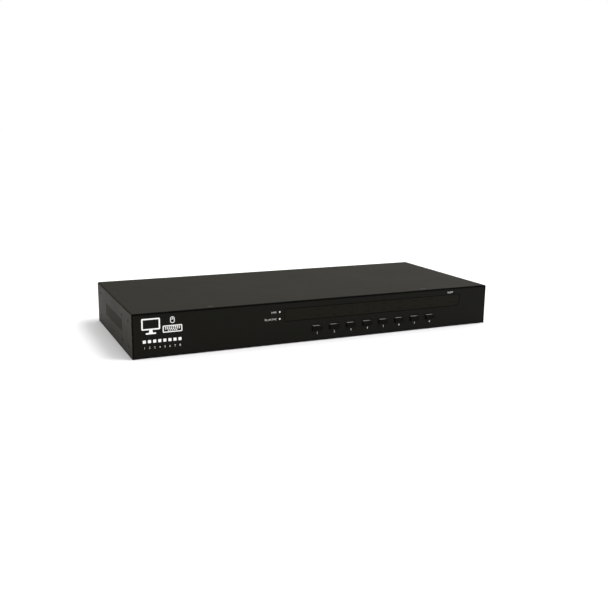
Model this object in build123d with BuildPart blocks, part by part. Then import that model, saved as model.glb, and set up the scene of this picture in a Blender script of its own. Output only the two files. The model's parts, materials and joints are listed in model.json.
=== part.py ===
from build123d import *
import os

os.makedirs("parts", exist_ok=True)

# An eight-channel KVM switch in a one-unit rack case. Millimetres. +Z up, the front faces -Y,
# +X to the right as seen from the front. The origin is the centre of the case's underside.

# Case
WIDTH = 402.0
DEPTH = 170.0
HEIGHT = 44.0
SHEET = 1.0
BEND_R = 1.5
INNER_BEND_R = 0.5
SEAM = 0.1
PANEL_GAP = 0.3
PANEL_DROP = 0.2
PANEL_W = WIDTH - 2 * SHEET - 2 * PANEL_GAP
PANEL_TOP = HEIGHT - SHEET - PANEL_DROP
PANEL_FLANGE = 13.0
FRONT_PANEL_BOTTOM = 0.7
REAR_PANEL_BOTTOM = 0.3
FRONT = -DEPTH / 2
REAR = DEPTH / 2
FRONT_INNER = FRONT + SHEET
REAR_INNER = REAR - SHEET
TRAY_W = WIDTH - 2 * SHEET - 2 * SEAM
TRAY_D = DEPTH - 2 * SHEET - 2 * SEAM
TRAY_RIM = 8.0
TRAY_NOTCH = 4.0

# Tapped holes in the sides, for the rack ears
EAR_Z = 22.0
EAR_RISE = 25.0
EAR_FRONT_Y = -55.3
EAR_FRONT_PITCH = 29.4
EAR_REAR_Y = 68.5
EAR_HOLE_R = 1.65

# Ventilation slots in each side
VENT_Y = -1.0
VENT_Z = 23.2
VENT_SLOTS = 17
VENT_PITCH = 4.8
VENT_SLOT_W = 2.0
VENT_SLOT_H = 12.4

# Small round parts that nothing has to measure are made with this many flat sides
ROUND_SIDES = 24
SCREW_SIDES = 16

# Cover screws, countersunk, with a cross for the driver
COVER_SCREW_X = 122.0
COVER_SCREW_FRONT_Y = -78.0
COVER_SCREW_REAR_Y = 80.5
COVER_SCREW_LENGTH = 6.0
COUNTERSINK_R = 2.8
COUNTERSINK_FIT = 0.05
CROSS_LENGTH = 2.8
CROSS_W = 0.7
CROSS_DEPTH = 0.8

# Hexagon-headed screws, and the hexagonal holes that stand for their tapped ones, out of sight
HEX_HEAD_FLATS = 5.0
HEX_HEAD_H = 1.8
SHANK_FLATS = 2.4
SHANK_HOLE_FLATS = 2.5
BOARD_SCREW_LENGTH = 5.0
GROUND_SCREW_LENGTH = 4.0

# Channel buttons
CHANNELS = 8
CHANNEL_PITCH = 19.6
CHANNEL_X = 58.8
BUTTON_Z = 13.75
BUTTON_W = 11.0
BUTTON_H = 5.5
BUTTON_GAP = 0.3
BUTTON_PROUD = 1.5
BUTTON_BEVEL = 0.4
BUTTON_FLANGE = 1.2
BUTTON_FLANGE_T = 1.0
STEM_W = 3.2
CLEAR = 0.3

# Window over the channel lights
WINDOW_X = 59.5
WINDOW_Z = 29.9
WINDOW_W = 212.0
WINDOW_H = 13.0
WINDOW_CORNER_R = 5.0
WINDOW_LIP = 1.5
WINDOW_LIP_T = 1.0
WINDOW_RECESS = 0.2
WINDOW_GLUE_T = 0.05
WINDOW_GAP = 0.25
WINDOW_LIP_Y = FRONT_INNER + WINDOW_GLUE_T
RESET_X = 153.0
RESET_Z = 29.0
RESET_HOLE_R = 0.9

# Front circuit board
BOARD_T = 1.6
FRONT_BOARD_X = 58.0
FRONT_BOARD_W = 256.0
FRONT_BOARD_Z = 23.0
FRONT_BOARD_H = 35.0
FRONT_BOARD_Y = -75.5
SPACER_DX = 240.0
SPACER_DZ = 24.0
SWITCH_SIZE = 6.0
SWITCH_T = 3.5
SWITCH_BORE_W = STEM_W + 2 * CLEAR
SWITCH_BORE_DEPTH = 1.6
STEM_SHORT = 2.8
STEM_END = FRONT_BOARD_Y - STEM_SHORT
LED_W = 5.0
LED_H = 2.0
LED_FRONT = -82.2
LINK_Z = 33.6
ACTIVE_Z = 26.6

# Main circuit board
BOARD_Z = 8.0
BOARD_TOP = BOARD_Z + BOARD_T
BOARD_W = 384.0
BOARD_FRONT = -30.0
BOARD_REAR = 82.0
BOARD_D = BOARD_REAR - BOARD_FRONT
BOARD_Y = (BOARD_REAR + BOARD_FRONT) / 2
POST_DX = 122.0
POST_DY = 60.0
POST_Y = 20.0
POST_FLATS = 5.0

# Fifteen-contact ports. PORT_Z is the height of their axis.
PORT_Z = 16.2
PORT_X = 82.0
PORT_PITCH = 33.0
CONSOLE_X = 119.0
D_W = 16.6
D_H = 8.2
D_SLANT = 0.8
D_CORNER = 1.6
D_WALL = 0.5
D_LENGTH = 5.6
D_HOLE_GAP = 0.3
PORT_FLANGE_W = 30.8
PORT_FLANGE_H = 12.4
PORT_FLANGE_T = 0.8
JACK_SPACING = 25.0
JACK_FLATS = 4.8
JACK_LENGTH = 5.0
JACK_SOCKET_FLATS = 2.4
JACK_SOCKET_DEPTH = 4.0
JACK_SHANK_FLATS = 2.8
JACK_HOLE_FLATS = 3.0
CONTACT_PITCH = 2.29
CONTACT_ROW = 1.98
CONTACT_HOLE = 1.0
CONTACT_DEPTH = 2.5
CORE_BACK_D = 12.0
CORE_RECESS = 0.4
CORE_GAP = 0.05

# Round keyboard and mouse ports
KEYBOARD_X = 147.0
MOUSE_X = 164.0
ROUND_W = 14.0
ROUND_H = 13.0
ROUND_D = 12.0
ROUND_HOLE_R = 6.0
ROUND_SOCKET_R = 4.6
ROUND_CORE_R = 3.7
ROUND_SOCKET_DEPTH = 5.0
ROUND_PINS = 6
ROUND_PIN_CIRCLE = 2.45
ROUND_PIN_TURN = 30
ROUND_PIN_HOLE = 0.9
ROUND_KEY_W = 1.2
ROUND_KEY_H = 2.0

# Low-voltage inlet
INLET_X = 180.0
INLET_W = 9.0
INLET_H = 11.0
INLET_D = 13.0
INLET_HOLE_R = 4.2
INLET_BORE_R = 3.1
INLET_DEPTH = 9.0
INLET_PIN_R = 1.05

# Ground screw
GROUND_X = 192.5
GROUND_Z = 33.0

# Chips on the main board
CHIP_W = 12.8
CHIP_D = 7.5
CHIP_T = 2.3
CHIP_Y = 52.0
CONTROLLER_SIZE = 24.0
CONTROLLER_T = 2.0
CONTROLLER_BEVEL = 0.3
CONTROLLER_X = -20.0
CONTROLLER_Y = 8.0
CRYSTAL_W = 4.6
CRYSTAL_D = 11.0
CRYSTAL_H = 3.5
CRYSTAL_CUT = 1.0

# Power parts on the main board
CAPACITOR_R = 4.0
CAPACITOR_H = 11.0
CAPACITOR_X = (165.0, 178.0)
CAPACITOR_Y = 45.0
REGULATOR_X = 150.0
REGULATOR_Y = 20.0
REGULATOR_W = 10.0
REGULATOR_T = 4.4
REGULATOR_H = 15.0
REGULATOR_RISE = 2.0
FINS = 5
FIN_H = 18.0
FIN_T = 1.2
SINK_W = 22.0
SINK_D = 12.0

# Ribbon cable between the boards, its two headers and its two sockets
RIBBON_X = 60.0
RIBBON_W = 25.4
RIBBON_T = 0.9
RIBBON_Z = 22.0
RIBBON_RISE_Y = -50.0
RIBBON_ARCH_Y = -42.0
RIBBON_ARCH_Z = 35.0
RIBBON_BOARD_Y = -18.0
RIBBON_R = 4.0
HEADER_W = 33.0
HEADER_T = 9.0
HEADER_DEPTH = 8.0
FRONT_HEADER_BACK = FRONT_BOARD_Y + BOARD_T + HEADER_DEPTH
BOARD_HEADER_TOP = BOARD_TOP + HEADER_DEPTH
SOCKET_W = 30.0
SOCKET_T = 5.0
SOCKET_DEPTH = 6.0
SOCKET_FIT = 0.2
SOCKET_PROUD = 3.0


def save(builder, node):
    """Name a finished piece and write its STEP file."""
    builder.part.label = node
    export_step(builder.part, f"parts/{node}.step")


def channel_x(channel):
    """Middle of channel 0 to 7 along the front."""
    return CHANNEL_X + (channel - (CHANNELS - 1) / 2) * CHANNEL_PITCH


def port_x(channel):
    """Middle of computer port 0 to 7 along the rear."""
    return PORT_X - channel * PORT_PITCH


PORTS = [port_x(channel) for channel in range(CHANNELS)]
D_PORTS = PORTS + [CONSOLE_X]
COVER_SCREWS = [
    (COVER_SCREW_X, COVER_SCREW_FRONT_Y),
    (-COVER_SCREW_X, COVER_SCREW_FRONT_Y),
    (COVER_SCREW_X, COVER_SCREW_REAR_Y),
    (-COVER_SCREW_X, COVER_SCREW_REAR_Y),
]


def front_plane(y):
    """Sketch plane facing the front. Its x is +X and its y is +Z."""
    return Plane.XZ.offset(-y)


def rear_plane(y):
    """Sketch plane facing the rear. Its x is -X and its y is +Z."""
    return Plane(origin=(0, y, 0), x_dir=(-1, 0, 0), z_dir=(0, 1, 0))


def d_outline(grow, at):
    """D outlines of the ports, the wide side up, with cut corners, grown all round by grow."""
    half = D_W / 2 + grow
    rise = D_H / 2 + grow
    with BuildSketch(mode=Mode.PRIVATE) as outline:
        with BuildLine():
            Polyline(
                (-half, rise),
                (half, rise),
                (half - 2 * D_SLANT, -rise),
                (-half + 2 * D_SLANT, -rise),
                close=True,
            )
        make_face()
        chamfer(outline.vertices(), D_CORNER)
    with Locations(*[(-x, PORT_Z) for x in at]):
        add(outline.sketch)


def hexagon(flats, mode=Mode.ADD):
    """A hexagon of the given width across its flats."""
    RegularPolygon(flats / 2, 6, major_radius=False, mode=mode)


def hex_screw(length):
    """A hexagon-headed screw, the underside of its head on the XY plane."""
    with BuildPart(mode=Mode.PRIVATE) as screw:
        with BuildSketch():
            hexagon(HEX_HEAD_FLATS)
        extrude(amount=HEX_HEAD_H)
        with BuildSketch():
            hexagon(SHANK_FLATS)
        extrude(amount=-length)
    return screw.part


def countersunk(grow):
    """The head of a countersunk screw, or with grow its seat, its top on the XY plane."""
    with BuildPart(mode=Mode.PRIVATE) as head:
        with BuildSketch(Plane.XY.offset(-SHEET)):
            RegularPolygon(COUNTERSINK_R - SHEET + grow, SCREW_SIDES)
        with BuildSketch():
            RegularPolygon(COUNTERSINK_R + grow, SCREW_SIDES)
        loft()
    return head.part


# Top cover: one sheet folded into a top and two skirts
with BuildPart() as top_cover:
    with BuildSketch(front_plane(REAR)):
        Rectangle(WIDTH, HEIGHT, align=(Align.CENTER, Align.MIN))
        Rectangle(
            WIDTH - 2 * SHEET,
            HEIGHT - SHEET,
            align=(Align.CENTER, Align.MIN),
            mode=Mode.SUBTRACT,
        )
    extrude(amount=DEPTH)
    bends = top_cover.edges().filter_by(Axis.Y).group_by(Axis.Z)
    fillet(bends[-1], BEND_R)
    bends = top_cover.edges().filter_by(Axis.Y).filter_by_position(
        Axis.Z, HEIGHT - SHEET - SEAM, HEIGHT - SHEET + SEAM
    )
    fillet(bends.filter_by_position(Axis.X, -WIDTH / 2 + SHEET, WIDTH / 2 - SHEET), INNER_BEND_R)
    with Locations(*[(x, y, HEIGHT) for x, y in COVER_SCREWS]):
        add(countersunk(COUNTERSINK_FIT), mode=Mode.SUBTRACT)
    with BuildSketch(Plane.YZ.offset(-WIDTH / 2)):
        with Locations((EAR_FRONT_Y, EAR_Z)):
            with GridLocations(EAR_FRONT_PITCH, EAR_RISE, 2, 2):
                Circle(EAR_HOLE_R)
        with Locations((EAR_REAR_Y, EAR_Z)):
            with GridLocations(1, EAR_RISE, 1, 2):
                Circle(EAR_HOLE_R)
        with Locations((VENT_Y, VENT_Z)):
            with GridLocations(VENT_PITCH, 1, VENT_SLOTS, 1):
                Rectangle(VENT_SLOT_W, VENT_SLOT_H)
    extrude(amount=WIDTH, mode=Mode.SUBTRACT)
save(top_cover, "top_cover")

# Bottom tray: a shallow pan, open at its corners where it was folded
with BuildPart() as bottom_tray:
    Box(TRAY_W, TRAY_D, TRAY_RIM, align=(Align.CENTER, Align.CENTER, Align.MIN))
    with BuildSketch(Plane.XY.offset(SHEET)):
        Rectangle(TRAY_W - 2 * SHEET, TRAY_D - 2 * SHEET)
    extrude(amount=TRAY_RIM, mode=Mode.SUBTRACT)
    fillet(bottom_tray.edges().group_by(Axis.Z)[0], BEND_R)
    with BuildSketch():
        with GridLocations(TRAY_W, TRAY_D, 2, 2):
            Rectangle(2 * TRAY_NOTCH, 2 * TRAY_NOTCH)
    extrude(amount=TRAY_RIM, mode=Mode.SUBTRACT)
save(bottom_tray, "bottom_tray")

# Front panel: a flat plate folded back along its top
with BuildPart() as front_panel:
    with BuildSketch(front_plane(FRONT_INNER)):
        with Locations((0, FRONT_PANEL_BOTTOM)):
            Rectangle(PANEL_W, PANEL_TOP - FRONT_PANEL_BOTTOM, align=(Align.CENTER, Align.MIN))
    extrude(amount=SHEET)
    with Locations((0, FRONT, PANEL_TOP)):
        Box(PANEL_W, PANEL_FLANGE, SHEET, align=(Align.CENTER, Align.MIN, Align.MAX))
    fillet(front_panel.edges().filter_by(Axis.X).group_by(Axis.Y)[0].sort_by(Axis.Z)[-1], BEND_R)
    with BuildSketch(front_plane(FRONT)) as openings:
        with Locations((WINDOW_X, WINDOW_Z)):
            Rectangle(WINDOW_W + 2 * WINDOW_GAP, WINDOW_H + 2 * WINDOW_GAP)
        fillet(openings.vertices().group_by(Axis.X)[-1].sort_by(Axis.Z)[0], WINDOW_CORNER_R)
        with Locations(*[(channel_x(channel), BUTTON_Z) for channel in range(CHANNELS)]):
            Rectangle(BUTTON_W + 2 * BUTTON_GAP, BUTTON_H + 2 * BUTTON_GAP)
    extrude(amount=-SHEET, mode=Mode.SUBTRACT)
    with BuildSketch(Plane.XY.offset(PANEL_TOP)):
        with Locations(*COVER_SCREWS[:2]):
            hexagon(SHANK_HOLE_FLATS)
    extrude(amount=-SHEET, mode=Mode.SUBTRACT)
save(front_panel, "front_panel")

# Rear panel, with the openings of the ports
with BuildPart() as rear_panel:
    with BuildSketch(rear_plane(REAR_INNER)):
        with Locations((0, REAR_PANEL_BOTTOM)):
            Rectangle(PANEL_W, PANEL_TOP - REAR_PANEL_BOTTOM, align=(Align.CENTER, Align.MIN))
    extrude(amount=SHEET)
    with Locations((0, REAR, PANEL_TOP)):
        Box(PANEL_W, PANEL_FLANGE, SHEET, align=(Align.CENTER, Align.MAX, Align.MAX))
    fillet(rear_panel.edges().filter_by(Axis.X).group_by(Axis.Y)[-1].sort_by(Axis.Z)[-1], BEND_R)
    with BuildSketch(rear_plane(REAR)):
        d_outline(D_HOLE_GAP, D_PORTS)
        with Locations(*[(-x, PORT_Z) for x in D_PORTS]):
            with GridLocations(JACK_SPACING, 1, 2, 1):
                hexagon(JACK_HOLE_FLATS)
        with Locations((-KEYBOARD_X, PORT_Z), (-MOUSE_X, PORT_Z)):
            RegularPolygon(ROUND_HOLE_R, ROUND_SIDES)
        with Locations((-INLET_X, PORT_Z)):
            RegularPolygon(INLET_HOLE_R, ROUND_SIDES)
        with Locations((-GROUND_X, GROUND_Z)):
            hexagon(SHANK_HOLE_FLATS)
    extrude(amount=-SHEET, mode=Mode.SUBTRACT)
    with BuildSketch(Plane.XY.offset(PANEL_TOP)):
        with Locations(*COVER_SCREWS[2:]):
            hexagon(SHANK_HOLE_FLATS)
    extrude(amount=-SHEET, mode=Mode.SUBTRACT)
save(rear_panel, "rear_panel")

# Cover screws, flush in the cover and tapped into the folds of the two panels
with BuildPart() as cover_screw:
    add(countersunk(0))
    with BuildSketch():
        hexagon(SHANK_FLATS)
    extrude(amount=-COVER_SCREW_LENGTH)
    with BuildSketch():
        Rectangle(CROSS_LENGTH, CROSS_W)
        Rectangle(CROSS_W, CROSS_LENGTH)
    extrude(amount=-CROSS_DEPTH, mode=Mode.SUBTRACT)
with BuildPart() as cover_screws:
    with Locations(*[(x, y, HEIGHT) for x, y in COVER_SCREWS]):
        add(cover_screw.part)
save(cover_screws, "cover_screws")

# Window: a smoked strip with a lip that is glued to the back of the front panel
with BuildPart() as led_window:
    with BuildSketch(front_plane(WINDOW_LIP_Y)) as pane:
        with Locations((WINDOW_X, WINDOW_Z)):
            Rectangle(WINDOW_W, WINDOW_H)
        fillet(pane.vertices().group_by(Axis.X)[-1].sort_by(Axis.Z)[0], WINDOW_CORNER_R)
    extrude(amount=WINDOW_LIP_Y - FRONT - WINDOW_RECESS)
    with BuildSketch(front_plane(WINDOW_LIP_Y)):
        with Locations((WINDOW_X, WINDOW_Z)):
            Rectangle(WINDOW_W + 2 * WINDOW_LIP, WINDOW_H + 2 * WINDOW_LIP)
    extrude(amount=-WINDOW_LIP_T)
    with BuildSketch(front_plane(FRONT)):
        with Locations((RESET_X, RESET_Z)):
            Circle(RESET_HOLE_R)
    extrude(amount=-2 * SHEET - WINDOW_LIP_T, mode=Mode.SUBTRACT)
save(led_window, "led_window")


def button(channel):
    """One channel button: a cap, the flange that keeps it in, and the stem on its switch."""
    flange_front = FRONT_INNER + CLEAR
    flange_back = flange_front + BUTTON_FLANGE_T
    with BuildPart() as cap:
        with BuildSketch(front_plane(flange_back)):
            with Locations((channel_x(channel), BUTTON_Z)):
                Rectangle(BUTTON_W, BUTTON_H)
        extrude(amount=flange_back - FRONT + BUTTON_PROUD)
        chamfer(cap.faces().sort_by(Axis.Y)[0].edges(), BUTTON_BEVEL)
        with BuildSketch(front_plane(flange_back)):
            with Locations((channel_x(channel), BUTTON_Z)):
                Rectangle(BUTTON_W + 2 * BUTTON_FLANGE, BUTTON_H + 2 * BUTTON_FLANGE)
        extrude(amount=BUTTON_FLANGE_T)
        with BuildSketch(front_plane(flange_back)):
            with Locations((channel_x(channel), BUTTON_Z)):
                Rectangle(STEM_W, STEM_W)
        extrude(amount=-(STEM_END - flange_back))
    return cap


for channel in range(CHANNELS):
    save(button(channel), f"button_{channel + 1}")

# Reset plunger, a plain post behind the hole in the window
with BuildPart() as reset_plunger:
    with BuildSketch(front_plane(STEM_END)):
        with Locations((RESET_X, RESET_Z)):
            Rectangle(STEM_W, STEM_W)
    extrude(amount=STEM_END - WINDOW_LIP_Y - WINDOW_LIP_T - CLEAR)
save(reset_plunger, "reset_plunger")


def switch_housings(at):
    """Tactile switch housings on the front board, each with the bore its stem runs in."""
    with BuildPart() as housings:
        with BuildSketch(front_plane(FRONT_BOARD_Y)):
            with Locations(*at):
                Rectangle(SWITCH_SIZE, SWITCH_SIZE)
        extrude(amount=SWITCH_T)
        with BuildSketch(front_plane(FRONT_BOARD_Y - SWITCH_T)):
            with Locations(*at):
                Rectangle(SWITCH_BORE_W, SWITCH_BORE_W)
        extrude(amount=-SWITCH_BORE_DEPTH, mode=Mode.SUBTRACT)
    return housings


save(
    switch_housings([(channel_x(channel), BUTTON_Z) for channel in range(CHANNELS)]),
    "channel_switches",
)
save(switch_housings([(RESET_X, RESET_Z)]), "reset_switch")


def led_row(z):
    """A row of flat-topped rectangular lights, one over each button."""
    with BuildPart() as row:
        with BuildSketch(front_plane(FRONT_BOARD_Y)):
            with Locations(*[(channel_x(channel), z) for channel in range(CHANNELS)]):
                Rectangle(LED_W, LED_H)
        extrude(amount=FRONT_BOARD_Y - LED_FRONT)
    return row


save(led_row(LINK_Z), "link_lights")
save(led_row(ACTIVE_Z), "active_lights")

# Front board, upright behind the front panel
with BuildPart() as front_board:
    with BuildSketch(front_plane(FRONT_BOARD_Y)):
        with Locations((FRONT_BOARD_X, FRONT_BOARD_Z)):
            Rectangle(FRONT_BOARD_W, FRONT_BOARD_H)
            with GridLocations(SPACER_DX, SPACER_DZ, 2, 2):
                hexagon(SHANK_HOLE_FLATS, Mode.SUBTRACT)
    extrude(amount=-BOARD_T)
save(front_board, "front_board")

# Spacers, welded to the back of the front panel
with BuildPart() as front_spacers:
    with BuildSketch(front_plane(FRONT_BOARD_Y)):
        with Locations((FRONT_BOARD_X, FRONT_BOARD_Z)):
            with GridLocations(SPACER_DX, SPACER_DZ, 2, 2):
                hexagon(POST_FLATS)
                hexagon(SHANK_HOLE_FLATS, Mode.SUBTRACT)
    extrude(amount=FRONT_BOARD_Y - FRONT_INNER)
save(front_spacers, "front_spacers")

with BuildPart() as front_board_screws:
    with Locations(Plane(origin=(0, FRONT_BOARD_Y + BOARD_T, 0), x_dir=(-1, 0, 0), z_dir=(0, 1, 0))):
        with Locations((-FRONT_BOARD_X, FRONT_BOARD_Z)):
            with GridLocations(SPACER_DX, SPACER_DZ, 2, 2):
                add(hex_screw(BOARD_SCREW_LENGTH))
save(front_board_screws, "front_board_screws")

# Main board, standing on posts pressed into the tray
with BuildPart() as main_board:
    with BuildSketch(Plane.XY.offset(BOARD_Z)):
        with Locations((0, BOARD_Y)):
            Rectangle(BOARD_W, BOARD_D)
        with Locations((0, POST_Y)):
            with GridLocations(POST_DX, POST_DY, 4, 2):
                hexagon(SHANK_HOLE_FLATS, Mode.SUBTRACT)
    extrude(amount=BOARD_T)
save(main_board, "main_board")

with BuildPart() as board_posts:
    with BuildSketch(Plane.XY.offset(SHEET)):
        with Locations((0, POST_Y)):
            with GridLocations(POST_DX, POST_DY, 4, 2):
                hexagon(POST_FLATS)
                hexagon(SHANK_HOLE_FLATS, Mode.SUBTRACT)
    extrude(amount=BOARD_Z - SHEET)
save(board_posts, "board_posts")

with BuildPart() as board_screws:
    with Locations((0, POST_Y, BOARD_TOP)):
        with GridLocations(POST_DX, POST_DY, 4, 2):
            add(hex_screw(BOARD_SCREW_LENGTH))
save(board_screws, "board_screws")


def port_shell(x):
    """Plated steel shell of a fifteen-contact port: a flat flange and a drawn D."""
    with BuildPart() as shell:
        with BuildSketch(rear_plane(REAR_INNER)):
            with Locations((-x, PORT_Z)):
                Rectangle(PORT_FLANGE_W, PORT_FLANGE_H)
                with GridLocations(JACK_SPACING, 1, 2, 1):
                    hexagon(JACK_HOLE_FLATS, Mode.SUBTRACT)
        extrude(amount=-PORT_FLANGE_T)
        with BuildSketch(rear_plane(REAR_INNER)):
            d_outline(0, [x])
        extrude(amount=SHEET + D_LENGTH)
        with BuildSketch(rear_plane(REAR_INNER - PORT_FLANGE_T)):
            d_outline(-D_WALL, [x])
        extrude(amount=2 * SHEET + D_LENGTH, mode=Mode.SUBTRACT)
    return shell


def port_cores(at):
    """Moulded insulators: a block on the board and a D with three rows of five contact holes."""
    block_back = REAR_INNER - PORT_FLANGE_T - CORE_BACK_D
    face = REAR + D_LENGTH - CORE_RECESS
    with BuildPart() as cores:
        with BuildSketch(rear_plane(block_back)):
            with Locations(*[(-x, BOARD_TOP) for x in at]):
                Rectangle(
                    PORT_FLANGE_W,
                    PORT_Z + PORT_FLANGE_H / 2 - BOARD_TOP,
                    align=(Align.CENTER, Align.MIN),
                )
        extrude(amount=CORE_BACK_D)
        with BuildSketch(rear_plane(block_back + CORE_BACK_D)):
            d_outline(-D_WALL - CORE_GAP, at)
        extrude(amount=face - block_back - CORE_BACK_D)
        with BuildSketch(rear_plane(face)):
            with Locations(*[(-x, PORT_Z) for x in at]):
                with GridLocations(CONTACT_PITCH, 2 * CONTACT_ROW, 5, 2):
                    Rectangle(CONTACT_HOLE, CONTACT_HOLE)
            with Locations(*[(-x + CONTACT_PITCH / 2, PORT_Z) for x in at]):
                with GridLocations(CONTACT_PITCH, 1, 5, 1):
                    Rectangle(CONTACT_HOLE, CONTACT_HOLE)
        extrude(amount=-CONTACT_DEPTH, mode=Mode.SUBTRACT)
    return cores


for channel in range(CHANNELS):
    save(port_shell(port_x(channel)), f"computer_port_{channel + 1}")
save(port_shell(CONSOLE_X), "monitor_port")
save(port_cores(PORTS), "computer_port_cores")
save(port_cores([CONSOLE_X]), "monitor_port_core")

# Jack nuts: hexagonal, hollow for the plug's screws, their shanks through panel and flange
with BuildPart() as jack_nuts:
    jack_places = [(-x + side * JACK_SPACING / 2, PORT_Z) for x in D_PORTS for side in (-1, 1)]
    with BuildSketch(rear_plane(REAR)):
        with Locations(*jack_places):
            hexagon(JACK_FLATS)
    extrude(amount=JACK_LENGTH)
    with BuildSketch(rear_plane(REAR)):
        with Locations(*jack_places):
            hexagon(JACK_SHANK_FLATS)
    extrude(amount=-SHEET - PORT_FLANGE_T)
    with BuildSketch(rear_plane(REAR + JACK_LENGTH)):
        with Locations(*jack_places):
            hexagon(JACK_SOCKET_FLATS)
    extrude(amount=-JACK_SOCKET_DEPTH, mode=Mode.SUBTRACT)
save(jack_nuts, "jack_nuts")


def round_port(x):
    """Keyboard or mouse port: a block behind the panel with a ring socket round a keyed core."""
    with BuildPart() as port:
        with BuildSketch(rear_plane(REAR_INNER)):
            with Locations((-x, BOARD_TOP)):
                Rectangle(ROUND_W, ROUND_H, align=(Align.CENTER, Align.MIN))
        extrude(amount=-ROUND_D)
        with BuildSketch(rear_plane(REAR_INNER)):
            with Locations((-x, PORT_Z)):
                RegularPolygon(ROUND_SOCKET_R, ROUND_SIDES)
                RegularPolygon(ROUND_CORE_R, ROUND_SIDES, mode=Mode.SUBTRACT)
                with PolarLocations(ROUND_PIN_CIRCLE, ROUND_PINS, start_angle=ROUND_PIN_TURN):
                    Rectangle(ROUND_PIN_HOLE, ROUND_PIN_HOLE)
                Rectangle(ROUND_KEY_W, ROUND_KEY_H)
        extrude(amount=-ROUND_SOCKET_DEPTH, mode=Mode.SUBTRACT)
    return port


save(round_port(KEYBOARD_X), "keyboard_port")
save(round_port(MOUSE_X), "mouse_port")

# Low-voltage inlet, a block behind the panel, and its centre pin
with BuildPart() as power_inlet:
    with BuildSketch(rear_plane(REAR_INNER)):
        with Locations((-INLET_X, BOARD_TOP)):
            Rectangle(INLET_W, INLET_H, align=(Align.CENTER, Align.MIN))
    extrude(amount=-INLET_D)
    with BuildSketch(rear_plane(REAR_INNER)):
        with Locations((-INLET_X, PORT_Z)):
            RegularPolygon(INLET_BORE_R, ROUND_SIDES)
    extrude(amount=-INLET_DEPTH, mode=Mode.SUBTRACT)
save(power_inlet, "power_inlet")

with BuildPart() as inlet_pin:
    with BuildSketch(rear_plane(REAR_INNER - INLET_DEPTH)):
        with Locations((-INLET_X, PORT_Z)):
            RegularPolygon(INLET_PIN_R, SCREW_SIDES)
    extrude(amount=INLET_DEPTH)
save(inlet_pin, "inlet_pin")

# Ground screw, in its own hole above the inlet
with BuildPart() as ground_screw:
    with Locations(Plane(origin=(GROUND_X, REAR, GROUND_Z), x_dir=(-1, 0, 0), z_dir=(0, 1, 0))):
        add(hex_screw(GROUND_SCREW_LENGTH))
save(ground_screw, "ground_screw")

# Controller, the one large chip on the main board
with BuildPart() as controller_chip:
    with Locations((CONTROLLER_X, CONTROLLER_Y, BOARD_TOP)):
        Box(
            CONTROLLER_SIZE,
            CONTROLLER_SIZE,
            CONTROLLER_T,
            align=(Align.CENTER, Align.CENTER, Align.MIN),
        )
    chamfer(controller_chip.edges().group_by(Axis.Z)[-1], CONTROLLER_BEVEL)
save(controller_chip, "controller_chip")

# One video chip in front of each fifteen-contact port
with BuildPart() as video_chips:
    with Locations(*[(x, CHIP_Y, BOARD_TOP) for x in D_PORTS]):
        Box(CHIP_W, CHIP_D, CHIP_T, align=(Align.CENTER, Align.CENTER, Align.MIN))
save(video_chips, "video_chips")

# Power parts on the main board, near the inlet
with BuildPart() as capacitors:
    with BuildSketch(Plane.XY.offset(BOARD_TOP)):
        with Locations(*[(x, CAPACITOR_Y) for x in CAPACITOR_X]):
            RegularPolygon(CAPACITOR_R, ROUND_SIDES)
    extrude(amount=CAPACITOR_H)
save(capacitors, "capacitors")

with BuildPart() as heat_sink:
    with BuildSketch(Plane.XY.offset(BOARD_TOP)):
        with Locations((REGULATOR_X, REGULATOR_Y)):
            Rectangle(SINK_W, FIN_T)
            with GridLocations((SINK_W - FIN_T) / (FINS - 1), 1, FINS, 1):
                Rectangle(FIN_T, SINK_D, align=(Align.CENTER, Align.MIN))
    extrude(amount=FIN_H)
save(heat_sink, "heat_sink")

with BuildPart() as regulator:
    with Locations((REGULATOR_X, REGULATOR_Y - FIN_T / 2, BOARD_TOP + REGULATOR_RISE)):
        Box(REGULATOR_W, REGULATOR_T, REGULATOR_H, align=(Align.CENTER, Align.MAX, Align.MIN))
save(regulator, "regulator")

# The controller's crystal, in a can with cut corners
with BuildPart() as crystal:
    with Locations((CONTROLLER_X + CONTROLLER_SIZE, CONTROLLER_Y, BOARD_TOP)):
        Box(CRYSTAL_W, CRYSTAL_D, CRYSTAL_H, align=(Align.CENTER, Align.CENTER, Align.MIN))
    chamfer(crystal.edges().filter_by(Axis.Z), CRYSTAL_CUT)
save(crystal, "crystal")

# Headers, one upright box on each board, and the sockets that plug into them
with BuildPart() as front_header:
    with BuildSketch(rear_plane(FRONT_BOARD_Y + BOARD_T)):
        with Locations((-RIBBON_X, RIBBON_Z)):
            Rectangle(HEADER_W, HEADER_T)
    extrude(amount=HEADER_DEPTH)
    with BuildSketch(rear_plane(FRONT_HEADER_BACK)):
        with Locations((-RIBBON_X, RIBBON_Z)):
            Rectangle(SOCKET_W + 2 * SOCKET_FIT, SOCKET_T + 2 * SOCKET_FIT)
    extrude(amount=-SOCKET_DEPTH - SOCKET_FIT, mode=Mode.SUBTRACT)
save(front_header, "front_header")

with BuildPart() as board_header:
    with BuildSketch(Plane.XY.offset(BOARD_TOP)):
        with Locations((RIBBON_X, RIBBON_BOARD_Y)):
            Rectangle(HEADER_W, HEADER_T)
    extrude(amount=HEADER_DEPTH)
    with BuildSketch(Plane.XY.offset(BOARD_HEADER_TOP)):
        with Locations((RIBBON_X, RIBBON_BOARD_Y)):
            Rectangle(SOCKET_W + 2 * SOCKET_FIT, SOCKET_T + 2 * SOCKET_FIT)
    extrude(amount=-SOCKET_DEPTH - SOCKET_FIT, mode=Mode.SUBTRACT)
save(board_header, "board_header")

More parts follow.
